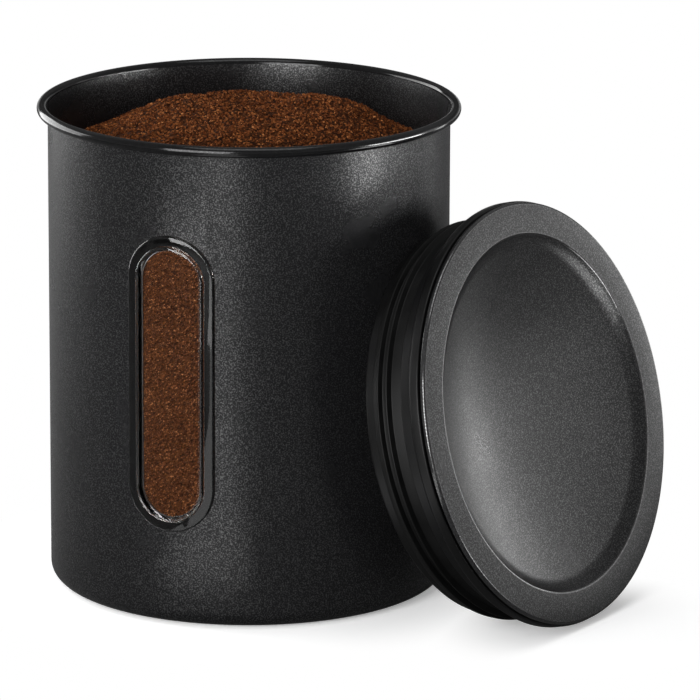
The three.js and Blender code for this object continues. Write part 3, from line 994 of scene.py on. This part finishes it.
def sow(name, ground, finish, towards, least, per_cm2, smallest, largest, seed):
    """Crumbs over the faces of a piece whose normal leans towards a direction."""
    activate(ground)
    bpy.ops.object.duplicate()
    piece = bpy.context.object
    piece.name = name
    piece.data.name = name
    tree = bpy.data.node_groups.new(name, "GeometryNodeTree")
    for way in ("INPUT", "OUTPUT"):
        tree.interface.new_socket("Geometry", in_out=way, socket_type="NodeSocketGeometry")
    source = add(tree, "NodeGroupInput").outputs[0]
    normal = add(tree, "GeometryNodeInputNormal").outputs[0]
    leaning = add(tree, "ShaderNodeVectorMath", {0: normal, 1: towards}, operation="DOT_PRODUCT")
    facing = add(
        tree, "FunctionNodeCompare", {0: leaning.outputs["Value"], 1: least}, operation="GREATER_THAN"
    ).outputs[0]
    points = add(
        tree,
        "GeometryNodeDistributePointsOnFaces",
        {"Mesh": source, "Selection": facing, "Density": per_cm2 * 1e4, "Seed": seed},
    ).outputs["Points"]
    shape = add(tree, "GeometryNodeObjectInfo", {"Object": crumb}).outputs["Geometry"]
    turn = add(
        tree, "FunctionNodeRandomValue", {1: (2 * math.pi,) * 3, "Seed": seed + 1}, data_type="FLOAT_VECTOR"
    ).outputs[0]
    stretch = add(
        tree,
        "FunctionNodeRandomValue",
        {0: (smallest,) * 3, 1: (largest,) * 3, "Seed": seed + 2},
        data_type="FLOAT_VECTOR",
    ).outputs[0]
    copies = add(
        tree,
        "GeometryNodeInstanceOnPoints",
        {"Points": points, "Instance": shape, "Rotation": turn, "Scale": stretch},
    ).outputs[0]
    real = add(tree, "GeometryNodeRealizeInstances", {0: copies}).outputs[0]
    add(tree, "NodeGroupOutput", {0: real})
    apply_modifier(piece, "NODES", node_group=tree)
    finish_piece(piece, finish, "can")


sow(
    "coffee_crumbs", heap, heap_crumbs, (0, 0, 1),
    least=0.3, per_cm2=78, smallest=0.55, largest=1.5, seed=11,
)
sow(
    "coffee_crumbs_in_window", fill, darker_window_crumbs, (0, -1, 0),
    least=0.5, per_cm2=380, smallest=0.25, largest=0.75, seed=21,
)
bpy.data.objects.remove(crumb)

# %% [markdown]
# Floor and background
#
# The picture's ground is white paper with soft shadows. Near the canister the floor is plain white and
# takes the shadows; further out, where only the camera, gloss and glass look at it, it fades to an even
# white. The world is white to the camera and through glass, and otherwise a grey room that is dark behind
# the paper, so that the rim has something dark to mirror.

# %% Floor
FLOOR_RADIUS_M = 8
FLOOR_DROP_M = 0.0002  # m under the can's foot
LID_REACH_M = 0.015  # m round the lid's hinge that counts as the lid
SHADOW_ZONE = (0.004, 0.042)  # m from can and lid, where the floor fades to even white for the camera
MIRROR_ZONE = (1.2, 3.0)  # the same for gloss and glass
SHADOW_LIFT = 0.3  # even light added to what the camera sees of the plain floor

bpy.ops.object.select_all(action="DESELECT")
bpy.ops.mesh.primitive_circle_add(
    vertices=128, radius=FLOOR_RADIUS_M, fill_type="NGON", location=(0, 0, -FLOOR_DROP_M)
)
floor = bpy.context.object
floor.name = "floor"
material, tree, place = new_material("white_paper")
paths = add(tree, "ShaderNodeLightPath").outputs
gaps = []
for middle, reach in (((0, 0, 0), FOOT * MM), (Vector(hinge["pos_m"]).to_tuple(), LID_REACH_M)):
    away = add(tree, "ShaderNodeVectorMath", {0: place, 1: middle}, operation="DISTANCE").outputs["Value"]
    gaps.append(add(tree, "ShaderNodeMath", {0: away, 1: reach}, operation="SUBTRACT").outputs[0])
far = add(tree, "ShaderNodeMath", {0: gaps[0], 1: gaps[1]}, operation="MINIMUM").outputs[0]


def even_white(zone, *rays):
    """Share of even white for these kinds of rays: none at the canister, all of it past the zone."""
    seen = rays[0]
    for ray in rays[1:]:
        seen = add(tree, "ShaderNodeMath", {0: seen, 1: ray}, operation="MAXIMUM").outputs[0]
    fade = add(
        tree,
        "ShaderNodeMapRange",
        {"Value": far, "From Min": zone[0], "From Max": zone[1]},
        interpolation_type="SMOOTHSTEP",
    ).outputs["Result"]
    return add(tree, "ShaderNodeMath", {0: fade, 1: seen}, operation="MULTIPLY").outputs[0]


camera_share = even_white(SHADOW_ZONE, paths["Is Camera Ray"])
mirror_share = even_white(MIRROR_ZONE, paths["Is Glossy Ray"], paths["Is Transmission Ray"])
share = add(tree, "ShaderNodeMath", {0: camera_share, 1: mirror_share}, operation="MAXIMUM").outputs[0]
colour = ramp(tree, paths["Is Camera Ray"], [(0.0, "#767676"), (1.0, "#fafafa")])
lift = add(
    tree, "ShaderNodeMath", {0: paths["Is Camera Ray"], 1: SHADOW_LIFT}, operation="MULTIPLY"
).outputs[0]
paper = add(
    tree,
    "ShaderNodeBsdfPrincipled",
    {
        "Base Color": colour,
        "Roughness": 1.0,
        "Specular IOR Level": 0.0,
        "Emission Color": (1, 1, 1, 1),
        "Emission Strength": lift,
    },
).outputs["BSDF"]
even = add(tree, "ShaderNodeEmission", {"Color": (1, 1, 1, 1), "Strength": 1.0}).outputs[0]
mix = add(tree, "ShaderNodeMixShader", {0: share, 1: paper, 2: even}).outputs[0]
add(tree, "ShaderNodeOutputMaterial", {"Surface": mix})
floor.data.materials.append(material)

# %% World
WALLS_GREY = "#9e9e9e"
CEILING_GREY = "#989898"
BACK_GREY = "#2c2c2c"  # the unlit room behind the paper
BACK_FROM, BACK_TO = 0.45, 0.8  # cosine to the way the camera looks, where that room begins and is full
world = bpy.data.worlds.new("studio")
bpy.context.scene.world = world
world.use_nodes = True
tree = world.node_tree
tree.nodes.clear()
paths = add(tree, "ShaderNodeLightPath").outputs
seen = add(
    tree,
    "ShaderNodeMath",
    {0: paths["Is Camera Ray"], 1: paths["Is Transmission Ray"]},
    operation="MAXIMUM",
).outputs[0]
way = add(tree, "ShaderNodeTexCoord").outputs["Generated"]
height = add(tree, "ShaderNodeSeparateXYZ", {0: way}).outputs["Z"]
front = ramp(tree, height, [(0.1, WALLS_GREY), (0.8, CEILING_GREY)])
back = ramp(tree, height, [(0.06, WALLS_GREY), (0.16, BACK_GREY), (0.7, CEILING_GREY)])
behind = add(tree, "ShaderNodeVectorMath", {0: way, 1: tuple(seen_away)}, operation="DOT_PRODUCT")
turned = add(
    tree,
    "ShaderNodeMapRange",
    {"Value": behind.outputs["Value"], "From Min": BACK_FROM, "From Max": BACK_TO},
).outputs["Result"]
room = add(tree, "ShaderNodeMix", {0: turned, 6: front, 7: back}, data_type="RGBA").outputs[2]
fill_light = add(tree, "ShaderNodeBackground", {"Color": room, "Strength": 1.0}).outputs[0]
white = add(tree, "ShaderNodeBackground", {"Color": (1, 1, 1, 1), "Strength": 1.0}).outputs[0]
mix = add(tree, "ShaderNodeMixShader", {0: seen, 1: fill_light, 2: white}).outputs[0]
add(tree, "ShaderNodeOutputWorld", {"Surface": mix})
print("floor and world ready")

# %% [markdown]
# Light
#
# Black powder coat shows its lamps as soft upright bands. The picture has one band left of the middle, one
# on the right and bright edges on both sides, so there is a softbox for each, placed by the side it comes
# from as seen by the camera. Three more lie on the floor and shine up, for surfaces that look down at it.
# The can's right side is brighter than the lid beside it, so two softboxes light the can alone, by light
# linking, and the lid casts no shadow in the second.

# %% Softboxes
LIGHT_AIM = Vector((0.02, 0, 0.075))
CARD_LIFT_M = 0.003  # m over the floor


def towards(turn, rise):
    """Unit vector at a turn from -Y towards +X and a rise above the floor, in degrees."""
    a, e = math.radians(turn), math.radians(rise)
    return Vector((math.sin(a) * math.cos(e), -math.cos(a) * math.cos(e), math.sin(e)))


def softbox(name, turn, rise, distance, width, height, watts):
    bpy.ops.object.light_add(type="AREA", location=LIGHT_AIM + towards(CAMERA_TURN + turn, rise) * distance)
    lamp = bpy.context.object
    lamp.name = name
    lamp.rotation_euler = (LIGHT_AIM - lamp.location).to_track_quat("-Z", "Y").to_euler()
    lamp.data.shape = "RECTANGLE"
    lamp.data.size = width
    lamp.data.size_y = height
    lamp.data.energy = watts
    lamp.visible_camera = False
    print(f"{name}: {watts} W")
    return lamp


def bright_card(name, near, far, width, watts):
    """A softbox that lies on the floor; near and far are the ends of its middle line, to the right of and
    towards the camera from the can's axis (m)."""
    near, far = (seen_right * right - seen_away * forward for right, forward in (near, far))
    lamp = softbox(name, 0, 0, 0, width, (far - near).length, watts)
    lamp.location = (near + far) / 2 + Vector((0, 0, CARD_LIFT_M))
    lamp.rotation_euler = (math.pi, 0, math.atan2(far.x - near.x, near.y - far.y))


SOFTBOXES = [  # name, turn and rise in degrees, distance, width and height in m, watts
    ("front_left", -28, 14, 0.62, 0.36, 0.4, 3.6),
    ("right_wide", 99, 5, 0.9, 0.7, 0.48, 1.1),
    ("right_edge", 122, -1, 0.6, 0.105, 0.2, 0.26),
    ("back_left", -122, 13, 0.6, 0.55, 0.4, 3.4),
    ("overhead", 0, 80, 0.8, 0.5, 0.5, 1.6),
]
FLOOR_CARDS = [  # name, near end, far end and width in m, watts
    ("front_card", (-0.088, 0.4), (-0.145, 0.6), 0.13, 0.22),
    ("front_card_near", (-0.034, 0.09), (-0.092, 0.4), 0.07, 0.075),
    ("right_card", (0.238, 0.096), (0.42, 0.16), 0.14, 0.6),
]
for row in SOFTBOXES:
    softbox(*row)
for row in FLOOR_CARDS:
    bright_card(*row)

# %% Softboxes for the can alone
can_only = bpy.data.collections.new("can_pieces")
for piece in (can_shell, pane, heap, fill):
    can_only.objects.link(piece)
right_lamp = softbox("right_of_can", 82, 6.2, 0.5, 0.34, 0.1, 3.4)
right_lamp.light_linking.receiver_collection = can_only
front_right = softbox("front_right_of_can", 72, 4, 0.6, 0.3, 0.3, 0.5)
front_right.light_linking.receiver_collection = can_only
front_right.light_linking.blocker_collection = can_only

# %% [markdown]
# Camera
#
# A long lens from well back: the can's sides stay nearly parallel. The camera looks down at the can, and
# is then turned so that the middle of the picture lies between can and lid, without any lens shift.

# %% Camera
CAMERA_PITCH = 14.68  # degrees down
CAMERA_DISTANCE = 2.041  # m from the middle of the can's axis
AXIS_MIDDLE = Vector((0, 0, 0.0789))
AIM_RIGHT = 0.03288  # m, middle of the picture as seen from the axis
AIM_UP = -0.00378
LENS_MM = 322.05

to_camera = towards(CAMERA_TURN, CAMERA_PITCH)
upright = to_camera.cross(seen_right)
spot = AXIS_MIDDLE + to_camera * CAMERA_DISTANCE
look = (AXIS_MIDDLE + seen_right * AIM_RIGHT + upright * AIM_UP - spot).normalized()
right = look.cross(upright).normalized()
bpy.ops.object.camera_add()
camera = bpy.context.object
turn = Matrix((right, right.cross(look), -look)).transposed().to_4x4()
camera.matrix_world = Matrix.Translation(spot) @ turn
camera.data.lens = LENS_MM
camera.data.clip_start = 0.1
camera.data.clip_end = 50
bpy.context.scene.camera = camera
bpy.context.scene.view_settings.view_transform = "Standard"
print("camera at", [round(c, 3) for c in spot])
